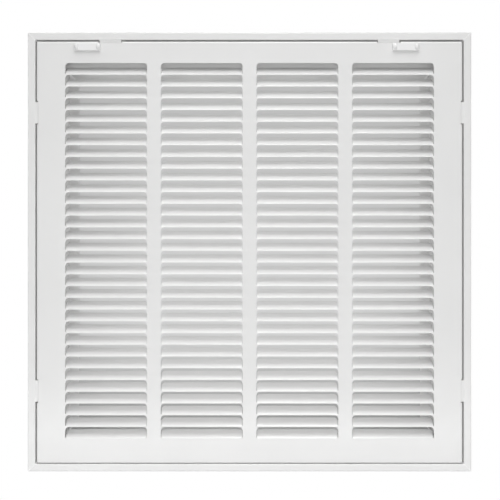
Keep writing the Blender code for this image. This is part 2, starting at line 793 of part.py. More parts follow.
def build_keeper(name, inward, parts, zinc, pivot):
    """A keeper: a stepped strap welded behind the face, which holds the bolt's tail."""
    foot_front = FACE_Y + SHEET + TOUCH_GAP
    strap_front = BOLT_BACK_Y + TOUCH_GAP
    step = BOLT_BOTTOM - TOUCH_GAP
    top = DOOR_TOP - SHEET - TOUCH_GAP
    path = [
        (step - KEEPER_FOOT, foot_front),
        (step, foot_front),
        (step, strap_front),
        (top, strap_front),
    ]
    middle = -inward * (UNLOCKED_CENTRE + KEEPER_SETBACK + KEEPER_LENGTH / 2)

    def place(point, end):
        return (middle + end * KEEPER_LENGTH / 2, point[1], point[0])

    mesh = extrude_section(name, sheet_section(path), place, (-1, 1))
    keeper = add_object(name, mesh, parts, zinc)
    place_on_door(keeper, 0, pivot)


def build_latches(parts, cutters, paint, zinc, pivot):
    """The two latches, drawn where they stand: the right one is part of the way in."""
    for side, inward, advance in (("left", 1, 0), ("right", -1, RIGHT_LATCH_ADVANCE)):
        centre = -inward * (UNLOCKED_CENTRE - advance)
        build_knob("latch_knob_" + side, centre, parts, cutters, paint, pivot)
        build_bolt("latch_bolt_" + side, centre, inward, parts, cutters, zinc, pivot)
        build_keeper("latch_keeper_" + side, inward, parts, zinc, pivot)


def main():
    """Build the grille."""
    clear_scene()
    parts = new_collection("return_air_filter_grille")
    cutters = new_collection("cutters")
    paint = new_material("white_paint", WHITE_PAINT, 0.42, 0.0)
    pad_paint = new_material("pad_paint", PAD_PAINT, 0.38, 0.0)
    zinc = new_material("zinc_plate", ZINC, 0.45, 0.9)
    build_frame(parts, cutters, paint)
    build_rivets(parts, paint)
    pivot = build_door(parts, cutters, paint)
    build_latches(parts, cutters, pad_paint, zinc, pivot)


main()
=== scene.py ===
"""The looks of the return air filter grille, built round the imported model.

Units are metres. The front faces -Y and +Z is up. The rails, the door and the finger pads
are built again from the same sizes with finer bends, and replace their plainer nodes. The
door's blades are cut free at their ends here, where the plainer ones end in webs.
"""

import json
import math

import bmesh
import bpy
from mathutils import Matrix, Vector

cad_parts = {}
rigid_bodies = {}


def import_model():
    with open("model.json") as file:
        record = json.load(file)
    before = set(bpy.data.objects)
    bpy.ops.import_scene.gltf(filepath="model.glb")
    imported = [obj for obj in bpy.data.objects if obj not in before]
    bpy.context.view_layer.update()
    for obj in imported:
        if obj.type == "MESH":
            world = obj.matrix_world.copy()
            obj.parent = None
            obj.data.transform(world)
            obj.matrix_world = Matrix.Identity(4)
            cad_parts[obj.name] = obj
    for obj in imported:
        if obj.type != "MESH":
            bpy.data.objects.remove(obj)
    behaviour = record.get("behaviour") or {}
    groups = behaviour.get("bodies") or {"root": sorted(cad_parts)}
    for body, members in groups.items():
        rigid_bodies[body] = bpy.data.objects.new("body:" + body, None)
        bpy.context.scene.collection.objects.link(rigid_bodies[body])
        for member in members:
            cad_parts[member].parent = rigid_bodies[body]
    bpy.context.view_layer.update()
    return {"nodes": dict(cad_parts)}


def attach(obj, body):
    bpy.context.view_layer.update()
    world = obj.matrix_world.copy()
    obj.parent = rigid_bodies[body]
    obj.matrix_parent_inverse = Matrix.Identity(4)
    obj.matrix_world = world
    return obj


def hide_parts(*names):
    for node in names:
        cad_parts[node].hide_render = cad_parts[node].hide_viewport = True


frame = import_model()

# Sheet
SHEET = 0.0008
BEND_INNER_RADIUS = 0.0004
TOUCH_GAP = 0.0003
BEND_STEPS = 6

# Louvred field of the door
COLUMNS = 4
ROWS = 32
SLOT_LENGTH = 0.0883
COLUMN_BAR = 0.0147
SLOT_PITCH = 0.01265
BLADE_DEPTH = 0.0090
BLADE_SLOPE = math.radians(43)
FOLD_RADIUS = 0.0014
FOLD_STEPS = 6
SLOPE_STEPS = 3

# Ends of the blades, cut free but for the nose, with round corners
LANCE_RADIUS = 0.0040
LANCE_GAP = 0.0007
LANCE_STEPS = 6

# Borders of the door round the field
SIDE_BORDER = 0.03095
TOP_BORDER = 0.0234
BOTTOM_BORDER = 0.0264
DOOR_BEND_INNER_RADIUS = 0.0012
DOOR_CORNER_RADIUS = 0.0022
CORNER_STEPS = 6
RIM_FLOOR_CLEARANCE = 0.0005

# Play between the door and the frame
GAP_SIDE = 0.0012
GAP_TOP = 0.0015
GAP_BOTTOM = 0.0006

# Frame section
LIP_WIDTH = 0.0082
FRAME_DEPTH = 0.0110
FLANGE_WIDTH = 0.0288
NECK_DEPTH = 0.0300
REAR_LIP = 0.0107

# Tongues lanced from the rails: stops and strikes, and the hinge tabs of the bottom rail
TONGUE_INSET = 0.0796
SIDE_TONGUE_INSET = 0.07835
TONGUE_LENGTH = 0.0230
TONGUE_REACH = 0.0052
TONGUE_SLOPE_RUN = 0.0020
HINGE_TAB_REACH = 0.0042
NOTCH_CLEARANCE = 0.0012
NOTCH_TRIM = 0.0001
HINGE_SLOT_FRONT = 0.0005
HINGE_SLOT_BACK = 0.0048

# Corner laps, rivets and screw holes
LAP_LENGTH = 0.0160
LAP_FRONT = 0.0030
LAP_BACK = 0.0260
RIVET_INSET = 0.0090
RIVET_FIRST = 0.0080
RIVET_SPACING = 0.0130
RIVET_RADIUS = 0.0016
SCREW_OFFSET = 0.1000
SCREW_HOLE_RADIUS = 0.0025
HOLE_SIDES = 32

# Latches
PAD_LENGTH = 0.0285
PAD_HEIGHT = 0.0080
PAD_TOP_MARGIN = 0.0022
PAD_THICKNESS = 0.0022
PAD_EDGE_RADIUS = 0.0005
PAD_EDGE_STEPS = 5
GRIP_INSET = 0.0026
GRIP_HALF_WIDTH = 0.0023
GRIP_HALF_HEIGHT = 0.0034
GRIP_RISE = 0.0016
GRIP_SINK = 0.0002
GRIP_SIDES = 40
GRIP_RINGS = 24
STEM_LENGTH = 0.0050
STEM_HEIGHT = 0.0034
STEM_CLEARANCE = 0.0005
STEM_HEAD_OVERLAP = 0.0012
STEM_HEAD_THICKNESS = 0.0007
LATCH_UNLOCKED_OFFSET = 0.0245
LATCH_ENGAGEMENT = 0.0045
RIGHT_LATCH_ADVANCE = 0.0065
BOLT_THICKNESS = 0.0012
BOLT_NOSE = 0.0060

# Folds from this angle up keep a sharp crease when a piece is smoothed
SHARP_DEGREES = 32
PAD_SHARP_DEGREES = 50

# Sizes that follow from the ones above
BEND_RADIUS = BEND_INNER_RADIUS + SHEET
DOOR_BEND_RADIUS = DOOR_BEND_INNER_RADIUS + SHEET
FIELD_WIDTH = COLUMNS * SLOT_LENGTH + (COLUMNS - 1) * COLUMN_BAR
FIELD_HEIGHT = ROWS * SLOT_PITCH
DOOR_WIDTH = FIELD_WIDTH + 2 * SIDE_BORDER
DOOR_HEIGHT = FIELD_HEIGHT + TOP_BORDER + BOTTOM_BORDER
OUTER_WIDTH = DOOR_WIDTH + 2 * (GAP_SIDE + LIP_WIDTH)
OUTER_HEIGHT = DOOR_HEIGHT + GAP_TOP + GAP_BOTTOM + 2 * LIP_WIDTH
NECK_INSET = LIP_WIDTH + FLANGE_WIDTH
ORIGIN_INSET = LIP_WIDTH + FLANGE_WIDTH / 2
CENTRE_Z = ORIGIN_INSET - OUTER_HEIGHT / 2

FACE_Y = -FRAME_DEPTH
DOOR_TOP = OUTER_HEIGHT / 2 - LIP_WIDTH - GAP_TOP
DOOR_BOTTOM = DOOR_TOP - DOOR_HEIGHT
FIELD_TOP = DOOR_TOP - TOP_BORDER
RIM_BACK_Y = -SHEET - RIM_FLOOR_CLEARANCE
HINGE_Y = FACE_Y + DOOR_BEND_RADIUS
HINGE_TAB_SETBACK = DOOR_BEND_RADIUS + TOUCH_GAP

TONGUE_OFFSET = DOOR_WIDTH / 2 - TONGUE_INSET
SIDE_TONGUE_OFFSET = OUTER_HEIGHT / 2 - LIP_WIDTH - SIDE_TONGUE_INSET

PAD_CENTRE_Z = DOOR_TOP - PAD_TOP_MARGIN - PAD_HEIGHT / 2
STEM_CENTRE_Z = DOOR_TOP + GAP_TOP - TONGUE_REACH - STEM_CLEARANCE - STEM_HEIGHT / 2
STRIKE_BACK_Y = FACE_Y + 2 * SHEET + TOUCH_GAP
BOLT_FRONT_Y = STRIKE_BACK_Y + TOUCH_GAP
BOLT_BACK_Y = BOLT_FRONT_Y + BOLT_THICKNESS
UNLOCKED_CENTRE = TONGUE_OFFSET + LATCH_UNLOCKED_OFFSET
STRIKE_CLEARANCE = LATCH_UNLOCKED_OFFSET - TONGUE_LENGTH / 2 - BOLT_NOSE
LATCH_TRAVEL = STRIKE_CLEARANCE + LATCH_ENGAGEMENT

FOLD_ANGLE = math.pi / 2 - BLADE_SLOPE
FOLD_LENGTH = FOLD_RADIUS * FOLD_ANGLE
FOLD_DEPTH = FOLD_RADIUS * (1 - math.cos(FOLD_ANGLE))
BLADE_REACH = FOLD_LENGTH + (BLADE_DEPTH - FOLD_DEPTH) / math.cos(BLADE_SLOPE)

# Camera: its distance from the door's face, and the width that the photo shows there
CAMERA_DISTANCE = 1.06
PHOTO_WIDTH_AT_FACE = 0.5385
SENSOR_WIDTH = 36
CAMERA_ACROSS = 0.0005
CAMERA_UP = 0.0020

# Sheet of paper that the neck stands against
PAPER_MARGIN = 0.0100
PAPER_GAP = 0.0006

# Its painted light, as it glows though it is no lamp, dimmer towards its sides, and the painted
# shade that it shows the camera, greys from low to high
PAPER_GLOW_SHARE = 0.6
PAPER_LIGHT = 1.0
PAPER_LIGHT_AT_EDGE = 0.1
PAPER_LIGHT_HALF_WIDTH = 0.15
PAPER_DIM_HALF_WIDTH = 0.185
PAPER_SHADE_HALF_HEIGHT = 0.2
PAPER_SHADE = ((0.0, 0.16), (0.16, 0.43), (0.27, 0.68), (0.42, 0.68), (0.72, 0.57), (1.0, 0.51))

# Floor, which is white to the camera
FLOOR_DROP = 0.362
FLOOR_HALF_WIDTH = 0.70
FLOOR_FRONT = -1.00
FLOOR_BACK = -0.03

# Colours of the stage
SHEET_COLOUR = (0.86, 0.86, 0.86, 1)
WHITE = (1, 1, 1, 1)

# Light from all round
WORLD_STRENGTH = 0.165

# Distant lights: name, where each comes from, softness in degrees and strength
SUN_DISTANCE = 2
SUNS = (
    ("sky", (0.04, -0.37, 0.925), 45, 0.79),
    ("crest", (0.04, -0.82, 0.57), 8, 0.30),
    ("high", (0.04, -0.17, 0.985), 8, 0.18),
)

# Panel lights: name, place, height of the point that each faces, width, height and power
PANELS = (
    ("over_top", (0.02, -0.40, 0.60), CENTRE_Z, 0.7, 0.4, 2.4),
    ("in_front", (0.04, -1.15, -0.25), CENTRE_Z, 1.6, 1.0, 3.10),
    ("behind", (-0.5, 1.3, 0.5), CENTRE_Z, 1.2, 1.0, 18.0),
    ("beside", (-1.4, 0.30, CENTRE_Z), CENTRE_Z, 0.5, 0.8, 5.0),
    ("beside", (1.4, 0.30, CENTRE_Z), CENTRE_Z, 0.5, 0.8, 5.0),
    ("low", (0, -0.75, -0.54), -0.35, 1.4, 0.06, 0.92),
)

# Powder coat: two shades and the roughness of the sheet and of the pads, and the scales of
# its cloudiness, its sheen and its orange peel. The pads' shades are the sheet's coat made
# whiter: painted light, for the light that the pads and their grips catch.
PAINT_SHADES = ((0.85, 0.85, 0.845), (0.875, 0.875, 0.87))
PAINT_ROUGHNESS = 0.19
PAD_SHADES_PAINTED_LIGHT = ((0.92, 0.92, 0.92), (0.94, 0.94, 0.94))
PAD_ROUGHNESS = 0.14
PAINT_CLOUD_SCALE = 9
PAINT_SHEEN_SCALE = 60
PAINT_SHEEN_SPREAD = 0.04
PAINT_PEEL_SCALE = 900
PAINT_PEEL_STRENGTH = 0.22
PAINT_PEEL_DEPTH = 0.00004
PAINT_SPECULAR = 0.45

# Zinc plate: two shades, the range of its roughness, and its grain, drawn out along X
ZINC_SHADES = ((0.50, 0.51, 0.52), (0.66, 0.67, 0.68))
ZINC_ROUGHNESS = (0.34, 0.52)
ZINC_METALLIC = 0.9
ZINC_SHEEN_SCALE = 120
ZINC_GRAIN_SCALE = 400
ZINC_GRAIN_STRETCH = (1, 8, 8)
ZINC_GRAIN_STRENGTH = 0.15
ZINC_GRAIN_DEPTH = 0.00002

# Range of a noise texture that is spread over a material's own range, and its octaves
NOISE_LOW = 0.3
NOISE_HIGH = 0.7
NOISE_DETAIL = 2
FINE_NOISE_DETAIL = 3


def mesh_from(name, bm):
    """Turn a bmesh into mesh data with outward faces."""
    bmesh.ops.recalc_face_normals(bm, faces=bm.faces)
    mesh = bpy.data.meshes.new(name)
    bm.to_mesh(mesh)
    bm.free()
    return mesh


def boolean(target, tool, operation):
    """Cut a tool out of a part, or unite it with the part."""
    modifier = target.modifiers.new(tool.name, "BOOLEAN")
    modifier.operation = operation
    modifier.solver = "EXACT"
    modifier.object = tool


def box_mesh(name, low, high):
    """A box between two corners."""
    bm = bmesh.new()
    bmesh.ops.create_cube(bm, size=1)
    for vert in bm.verts:
        for axis in range(3):
            middle = (low[axis] + high[axis]) / 2
            vert.co[axis] = middle + vert.co[axis] * (high[axis] - low[axis])
    return mesh_from(name, bm)


def merge_meshes(name, meshes):
    """Put several closed shapes, clear of each other, in one tool mesh."""
    bm = bmesh.new()
    for mesh in meshes:
        bm.from_mesh(mesh)
        bpy.data.meshes.remove(mesh)
    return mesh_from(name, bm)


def round_path(points, radii, steps):
    """Replace the inner corners of an open path with arcs."""
    rounded = [points[0]]
    for index in range(1, len(points) - 1):
        before, corner, after = points[index - 1 : index + 2]
        rounded += corner_arc(before, corner, after, radii[index], steps)
    rounded.append(points[-1])
    return rounded


def corner_arc(before, corner, after, radius, steps):
    """Points of the arc that rounds one right-angled or blunt corner."""
    start = math.atan2(before[1] - corner[1], before[0] - corner[0])
    end = math.atan2(after[1] - corner[1], after[0] - corner[0])
    opening = (end - start + math.pi) % (2 * math.pi) - math.pi
    tangent = radius / math.tan(abs(opening) / 2)
    reach = math.hypot(tangent, radius)
    middle = start + opening / 2
    centre = (corner[0] + reach * math.cos(middle), corner[1] + reach * math.sin(middle))
    first = (corner[0] + tangent * math.cos(start), corner[1] + tangent * math.sin(start))
    angle = math.atan2(first[1] - centre[1], first[0] - centre[0])
    turn = math.copysign(math.pi - abs(opening), -opening)
    arc = []
    for step in range(steps + 1):
        now = angle + turn * step / steps
        arc.append((centre[0] + radius * math.cos(now), centre[1] + radius * math.sin(now)))
    return arc


def sheet_section(path):
    """Outline of a folded sheet: the path is one face, and the other lies on its left."""
    headings = []
    for start, end in zip(path, path[1:]):
        headings.append(math.atan2(end[1] - start[1], end[0] - start[0]))
    other = []
    near_radii = []
    far_radii = []
    for index, point in enumerate(path):
        before = headings[max(index - 1, 0)]
        after = headings[min(index, len(headings) - 1)]
        turn = (after - before + math.pi) % (2 * math.pi) - math.pi
        middle = before + turn / 2 + math.pi / 2
        reach = SHEET / math.cos(turn / 2)
        other.append((point[0] + reach * math.cos(middle), point[1] + reach * math.sin(middle)))
        near_radii.append(BEND_RADIUS if turn > 0 else BEND_INNER_RADIUS)
        far_radii.append(BEND_INNER_RADIUS if turn > 0 else BEND_RADIUS)
    near = round_path(path, near_radii, BEND_STEPS)
    far = round_path(other, far_radii, BEND_STEPS)
    return near + far[::-1]


def extrude_section(name, outline, place, ends):
    """Sweep a closed outline between two ends; place gives a point for each end."""
    bm = bmesh.new()
    verts = [bm.verts.new(place(point, ends[0])) for point in outline]
    bottom = bm.faces.new(verts)
    swept = bmesh.ops.extrude_face_region(bm, geom=[bottom])["geom"]
    moved = [item for item in swept if isinstance(item, bmesh.types.BMVert)]
    by_place = {tuple(vert.co): vert for vert in moved}
    for source, point in zip(verts, outline):
        by_place[tuple(source.co)].co = place(point, ends[1])
    return mesh_from(name, bm)


def rail_section():
    """Section of a rail as inset from the outer edge and depth, from the wall inwards."""
    return sheet_section(
        [
            (0, 0),
            (0, FACE_Y),
            (LIP_WIDTH, FACE_Y),
            (LIP_WIDTH, -SHEET),
            (NECK_INSET + SHEET, -SHEET),
            (NECK_INSET + SHEET, NECK_DEPTH - SHEET),
            (NECK_INSET + SHEET + REAR_LIP, NECK_DEPTH - SHEET),
        ]
    )


def rail_mesh(name, half_length, half_across):
    """A rail along X with mitred ends and its outer edge up."""
    mitre_setback = TOUCH_GAP / 2 * math.sqrt(2)

    def place(point, end):
        inset, depth = point
        return (end * (half_length - inset - mitre_setback), depth, half_across - inset)

    return extrude_section(name, rail_section(), place, (-1, 1))


def tongue_section():
    """Section of a tongue that carries on from the lip and dips behind the door's face."""
    root = LIP_WIDTH - BEND_RADIUS
    shoulder = LIP_WIDTH + NOTCH_TRIM
    stop_y = FACE_Y + SHEET + TOUCH_GAP
    tip = LIP_WIDTH + TONGUE_REACH
    front = [
        (root, FACE_Y),
        (shoulder, FACE_Y),
        (shoulder + TONGUE_SLOPE_RUN, stop_y),
        (tip, stop_y),
    ]
    back = [
        (tip, stop_y + SHEET),
        (shoulder + TONGUE_SLOPE_RUN - SHEET / 4, stop_y + SHEET),
        (shoulder - SHEET / 4, FACE_Y + SHEET),
        (root, FACE_Y + SHEET),
    ]
    return front + back


def hinge_tab_section():
    """Section of a hinge tab, which stands straight out of the recess wall."""
    front = HINGE_Y + HINGE_TAB_SETBACK
    root = LIP_WIDTH - SHEET / 2
    tip = LIP_WIDTH + HINGE_TAB_REACH
    return [(root, front), (tip, front), (tip, front + SHEET), (root, front + SHEET)]


def along_rail(half_across, middle, length):
    """Placer for a short section swept along a rail."""

    def place(point, end):
        inset, depth = point
        return (middle + end * length / 2, depth, half_across - inset)

    return place


def add_tongues(rail, half_across, offset, section, window_front, window_depth, cutters):
    """Lance two tongues out of a rail's recess wall."""
    windows = []
    tongues = []
    for side in (-1, 1):
        middle = side * offset
        half_window = TONGUE_LENGTH / 2 + TOUCH_GAP
        top = half_across - LIP_WIDTH + 2 * SHEET
        bottom = half_across - LIP_WIDTH - SHEET
        low = (middle - half_window, window_front, bottom)
        high = (middle + half_window, window_front + window_depth, top)
        windows.append(box_mesh("window", low, high))
        place = along_rail(half_across, middle, TONGUE_LENGTH)
        tongues.append(extrude_section("tongue", section, place, (-1, 1)))
    use_tools(rail, "_windows", windows, "DIFFERENCE", cutters)
    use_tools(rail, "_tongues", tongues, "UNION", cutters)


def use_tools(rail, name, meshes, operation, cutters):
    """Cut several shapes out of a rail at once, or unite it with them."""
    tool = add_cutter(rail.name + name, merge_meshes(name, meshes), cutters, rail)
    boolean(rail, tool, operation)


def cylinder_mesh(name, centre, radius, half_length, axis):
    """A round cutter along X, Y or Z."""
    bm = bmesh.new()
    bmesh.ops.create_cone(
        bm,
        cap_ends=True,
        segments=HOLE_SIDES,
        radius1=radius,
        radius2=radius,
        depth=2 * half_length,
    )
    for vert in bm.verts:
        x, y, z = vert.co
        if axis == "X":
            x, z = z, -x
        elif axis == "Y":
            y, z = -z, y
        vert.co = (centre[0] + x, centre[1] + y, centre[2] + z)
    return mesh_from(name, bm)


def add_holes(rail, half_length, half_across, riveted, cutters):
    """Drill the screw holes of a rail's flange, and the rivet holes of its neck."""
    holes = []
    for side in (-1, 1):
        centre = (side * SCREW_OFFSET, -SHEET / 2, half_across - ORIGIN_INSET)
        holes.append(cylinder_mesh("screw_hole", centre, SCREW_HOLE_RADIUS, 2 * SHEET, "Y"))
        if riveted:
            x = side * (half_length - NECK_INSET - SHEET - RIVET_INSET)
            z = half_across - NECK_INSET - SHEET / 2
            holes += rivet_holes(x, z, "Z")
    use_tools(rail, "_holes", holes, "DIFFERENCE", cutters)


def rivet_holes(x, z, axis):
    """The pair of clearance holes for one corner's rivets."""
    holes = []
    for index in range(2):
        centre = (x, RIVET_FIRST + index * RIVET_SPACING, z)
        holes.append(cylinder_mesh("rivet_hole", centre, RIVET_RADIUS + TOUCH_GAP, SHEET, axis))
    return holes


def add_laps(rail, half_length, half_across, cutters):
    """Fold a lap at each end of a side rail's neck, inside the neck of the next rail."""
    laps = []
    holes = []
    for side in (-1, 1):
        outer = half_length - NECK_INSET - SHEET - TOUCH_GAP
        across_top = half_across - NECK_INSET - SHEET / 2
        across_bottom = half_across - NECK_INSET - SHEET - LAP_LENGTH
        edges = sorted((side * outer, side * (outer - SHEET)))
        low = (edges[0], LAP_FRONT, across_bottom)
        high = (edges[1], LAP_BACK, across_top)
        laps.append(box_mesh("lap", low, high))
        across = half_across - NECK_INSET - SHEET - RIVET_INSET
        holes += rivet_holes(side * (outer - SHEET / 2), across, "X")
    use_tools(rail, "_laps", laps, "UNION", cutters)
    use_tools(rail, "_lap_holes", holes, "DIFFERENCE", cutters)


def rim_ring(bm, inset, y):
    """One loop round the door, as four corner arcs, from the top left clockwise."""
    radius = DOOR_CORNER_RADIUS - inset
    half_width = DOOR_WIDTH / 2 - DOOR_CORNER_RADIUS
    corners = (
        (-half_width, DOOR_TOP - DOOR_CORNER_RADIUS, math.pi),
        (half_width, DOOR_TOP - DOOR_CORNER_RADIUS, math.pi / 2),
        (half_width, DOOR_BOTTOM + DOOR_CORNER_RADIUS, 0),
        (-half_width, DOOR_BOTTOM + DOOR_CORNER_RADIUS, -math.pi / 2),
    )
    ring = []
    for x, z, start in corners:
        arc = []
        for step in range(CORNER_STEPS + 1):
            angle = start - math.pi / 2 * step / CORNER_STEPS
            place = (x + radius * math.cos(angle), y, z + radius * math.sin(angle))
            arc.append(bm.verts.new(place))
        ring.append(arc)
    return ring


def add_rim(bm):
    """The edge of the door: a bend and a rim turned back towards the wall."""
    rings = []
    for step in range(BEND_STEPS + 1):
        angle = math.pi / 2 * step / BEND_STEPS
        inset = DOOR_BEND_RADIUS * (1 - math.sin(angle))
        y = FACE_Y + DOOR_BEND_RADIUS * (1 - math.cos(angle))
        rings.append(rim_ring(bm, inset, y))
    rings.append(rim_ring(bm, 0, RIM_BACK_Y))
    for near, far in zip(rings, rings[1:]):
        near_loop = sum(near, [])
        far_loop = sum(far, [])
        for index in range(len(near_loop)):
            after = (index + 1) % len(near_loop)
            bm.faces.new((near_loop[index], near_loop[after], far_loop[after], far_loop[index]))
    return rings[0]


def notch_boxes():
    """Notches of the top and side rims, open to the back, where the tongues reach in."""
    depth = DOOR_BEND_RADIUS + NOTCH_TRIM
    half = TONGUE_LENGTH / 2 + NOTCH_CLEARANCE
    front = FACE_Y - SHEET
    boxes = []
    for side in (-1, 1):
        middle = side * TONGUE_OFFSET
        low = (middle - half, front, DOOR_TOP - depth)
        high = (middle + half, SHEET, DOOR_TOP + SHEET)
        boxes.append(box_mesh("top_notch", low, high))
        level = side * SIDE_TONGUE_OFFSET
        for across in (-1, 1):
            edges = sorted((across * (DOOR_WIDTH / 2 - depth), across * (DOOR_WIDTH / 2 + SHEET)))
            low = (edges[0], front, level - half)
            high = (edges[1], SHEET, level + half)
            boxes.append(box_mesh("side_notch", low, high))
    return boxes


def hinge_slot_boxes():
    """Closed slots of the bottom rim, which turn round the hinge tabs."""
    half = TONGUE_LENGTH / 2 + NOTCH_CLEARANCE
    boxes = []
    for side in (-1, 1):
        middle = side * TONGUE_OFFSET
        low = (middle - half, HINGE_Y + HINGE_SLOT_FRONT, DOOR_BOTTOM - SHEET)
        high = (middle + half, HINGE_Y + HINGE_SLOT_BACK, DOOR_BOTTOM + 2 * SHEET)
        boxes.append(box_mesh("hinge_slot", low, high))
    return boxes


def latch_slot_boxes():
    """Slots of the top border, in which the stems of the latches run."""
    clearance = TOUCH_GAP
    inner = UNLOCKED_CENTRE - LATCH_TRAVEL - STEM_LENGTH / 2 - clearance
    outer = UNLOCKED_CENTRE + STEM_LENGTH / 2 + clearance
    half = STEM_HEIGHT / 2 + clearance
    boxes = []
    for side in (-1, 1):
        edges = sorted((side * inner, side * outer))
        low = (edges[0], FACE_Y - SHEET, STEM_CENTRE_Z - half)
        high = (edges[1], FACE_Y + 2 * SHEET, STEM_CENTRE_Z + half)
        boxes.append(box_mesh("latch_slot", low, high))
    return boxes


def pad_mesh():
    """Plate of the finger pad, with its centre on the slide line and its back on the face."""
    back = FACE_Y - TOUCH_GAP
    low = (-PAD_LENGTH / 2, back - PAD_THICKNESS, PAD_CENTRE_Z - PAD_HEIGHT / 2)
    high = (PAD_LENGTH / 2, back, PAD_CENTRE_Z + PAD_HEIGHT / 2)
    return box_mesh("pad", low, high)


def grip_mesh(side):
    """A rounded grip that stands up from one end of the finger pad."""
    x = side * (PAD_LENGTH / 2 - GRIP_INSET)
    y = FACE_Y - TOUCH_GAP - PAD_THICKNESS + GRIP_SINK
    place = Matrix.Translation((x, y, PAD_CENTRE_Z))
    form = Matrix.Diagonal((GRIP_HALF_WIDTH, GRIP_RISE + GRIP_SINK, GRIP_HALF_HEIGHT, 1))
    bm = bmesh.new()
    bmesh.ops.create_uvsphere(
        bm, u_segments=GRIP_SIDES, v_segments=GRIP_RINGS, radius=1, matrix=place @ form
    )
    return mesh_from("grip", bm)


def build_knob(centre, collection, paint):
    """A knob: the finger pad with a stem through the door's slot, closed over the bolt."""
    knob = add_object("pad", pad_mesh(), collection, paint)
    knob.location = (centre, 0, CENTRE_Z)
    edge = knob.modifiers.new("edge", "BEVEL")
    edge.width = PAD_EDGE_RADIUS
    edge.segments = PAD_EDGE_STEPS
    edge.limit_method = "ANGLE"
    half_length = STEM_LENGTH / 2
    half_height = STEM_HEIGHT / 2
    head_length = half_length + STEM_HEAD_OVERLAP
    head_height = half_height + STEM_HEAD_OVERLAP
    head_front = BOLT_BACK_Y + TOUCH_GAP
    head_back = head_front + STEM_HEAD_THICKNESS
    stem = box_mesh(
        "stem",
        (-half_length, FACE_Y - 2 * TOUCH_GAP, STEM_CENTRE_Z - half_height),
        (half_length, head_front + STEM_HEAD_THICKNESS / 2, STEM_CENTRE_Z + half_height),
    )
    head = box_mesh(
        "stem_head",
        (-head_length, head_front, STEM_CENTRE_Z - head_height),
        (head_length, head_back, STEM_CENTRE_Z + head_height),
    )
    grips = merge_meshes("grips", [grip_mesh(-1), grip_mesh(1)])
    for part_name, mesh in (("_grips", grips), ("_stem", stem), ("_stem_head", head)):
        tool = add_cutter("pad" + part_name, mesh, collection)
        tool.location = knob.location
        boolean(knob, tool, "UNION")
    return knob


def add_object(name, mesh, collection, material=None):
    """Link a mesh as a named object at the height of the grille's centre."""
    new = bpy.data.objects.new(name, mesh)
    new.location = (0, 0, CENTRE_Z)
    collection.objects.link(new)
    if material:
        mesh.materials.append(material)
    return new


def add_cutter(name, mesh, cutters, target=None):
    """Link a tool object, placed as its target is; bake() removes it again."""
    tool = add_object(name, mesh, cutters)
    tool["is_cutter"] = True
    if target:
        tool.rotation_euler = target.rotation_euler
    return tool


def bake(source, name, body, node, collection, sharp_degrees=SHARP_DEGREES):
    """Apply a piece's modifiers, put it in the frame, and let it stand for its node."""
    bpy.context.view_layer.update()
    graph = bpy.context.evaluated_depsgraph_get()
    mesh = bpy.data.meshes.new_from_object(source.evaluated_get(graph))
    mesh.transform(source.matrix_world)
    for tool in [item for item in bpy.data.objects if item.get("is_cutter")]:
        bpy.data.objects.remove(tool, do_unlink=True)
    bpy.data.objects.remove(source, do_unlink=True)
    mesh.name = name
    for polygon in mesh.polygons:
        polygon.use_smooth = True
    mesh.set_sharp_from_angle(angle=math.radians(sharp_degrees))
    piece = bpy.data.objects.new(name, mesh)
    collection.objects.link(piece)
    even = piece.modifiers.new("even_normals", "WEIGHTED_NORMAL")
    even.keep_sharp = True
    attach(piece, body)
    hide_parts(node)
    return piece


def build_rails(collection, paint):
    """The four rails with finer bends."""
    sides = (("top", 0), ("right", 90), ("bottom", 180), ("left", 270))
    for side, turn in sides:
        level = turn in (0, 180)
        half_length = (OUTER_WIDTH if level else OUTER_HEIGHT) / 2
        half_across = (OUTER_HEIGHT if level else OUTER_WIDTH) / 2
        rail = add_object("rail", rail_mesh("rail", half_length, half_across), collection, paint)
        rail.rotation_euler = (0, math.radians(turn), 0)
        if side == "bottom":
            section = hinge_tab_section()
            window_front = HINGE_Y + HINGE_TAB_SETBACK + SHEET + TOUCH_GAP
            window_depth = HINGE_TAB_REACH
        else:
            section = tongue_section()
            window_front = FACE_Y + BEND_RADIUS + TOUCH_GAP
            window_depth = TONGUE_REACH
        offset = TONGUE_OFFSET if level else SIDE_TONGUE_OFFSET
        add_tongues(rail, half_across, offset, section, window_front, window_depth, collection)
        add_holes(rail, half_length, half_across, level, collection)
        if not level:
            add_laps(rail, half_length, half_across, collection)
        bake(rail, "rail_" + side, "frame", "frame_" + side, collection)


def blade_line(bm, x, nose_z, reach):
    """Points across a blade, from its nose over the fold to a reach along the sheet."""
    points = []
    for step in range(FOLD_STEPS + 1):
        angle = FOLD_ANGLE * step / FOLD_STEPS
        points.append((FOLD_RADIUS * (1 - math.cos(angle)), FOLD_RADIUS * math.sin(angle)))
    depth, rise = points[-1]
    straight = reach - FOLD_LENGTH
    for step in range(1, SLOPE_STEPS + 1):
        run = straight * step / SLOPE_STEPS
        points.append((depth + run * math.cos(BLADE_SLOPE), rise + run * math.sin(BLADE_SLOPE)))
    return [bm.verts.new((x, FACE_Y + depth, nose_z + rise)) for depth, rise in points]


def lance_inset(step):
    """Distance from the slot's end to one of the lines round a blade's corner."""
    angle = math.pi / 2 * step / LANCE_STEPS
    return LANCE_GAP + (LANCE_RADIUS - LANCE_GAP) * (1 - math.cos(angle))


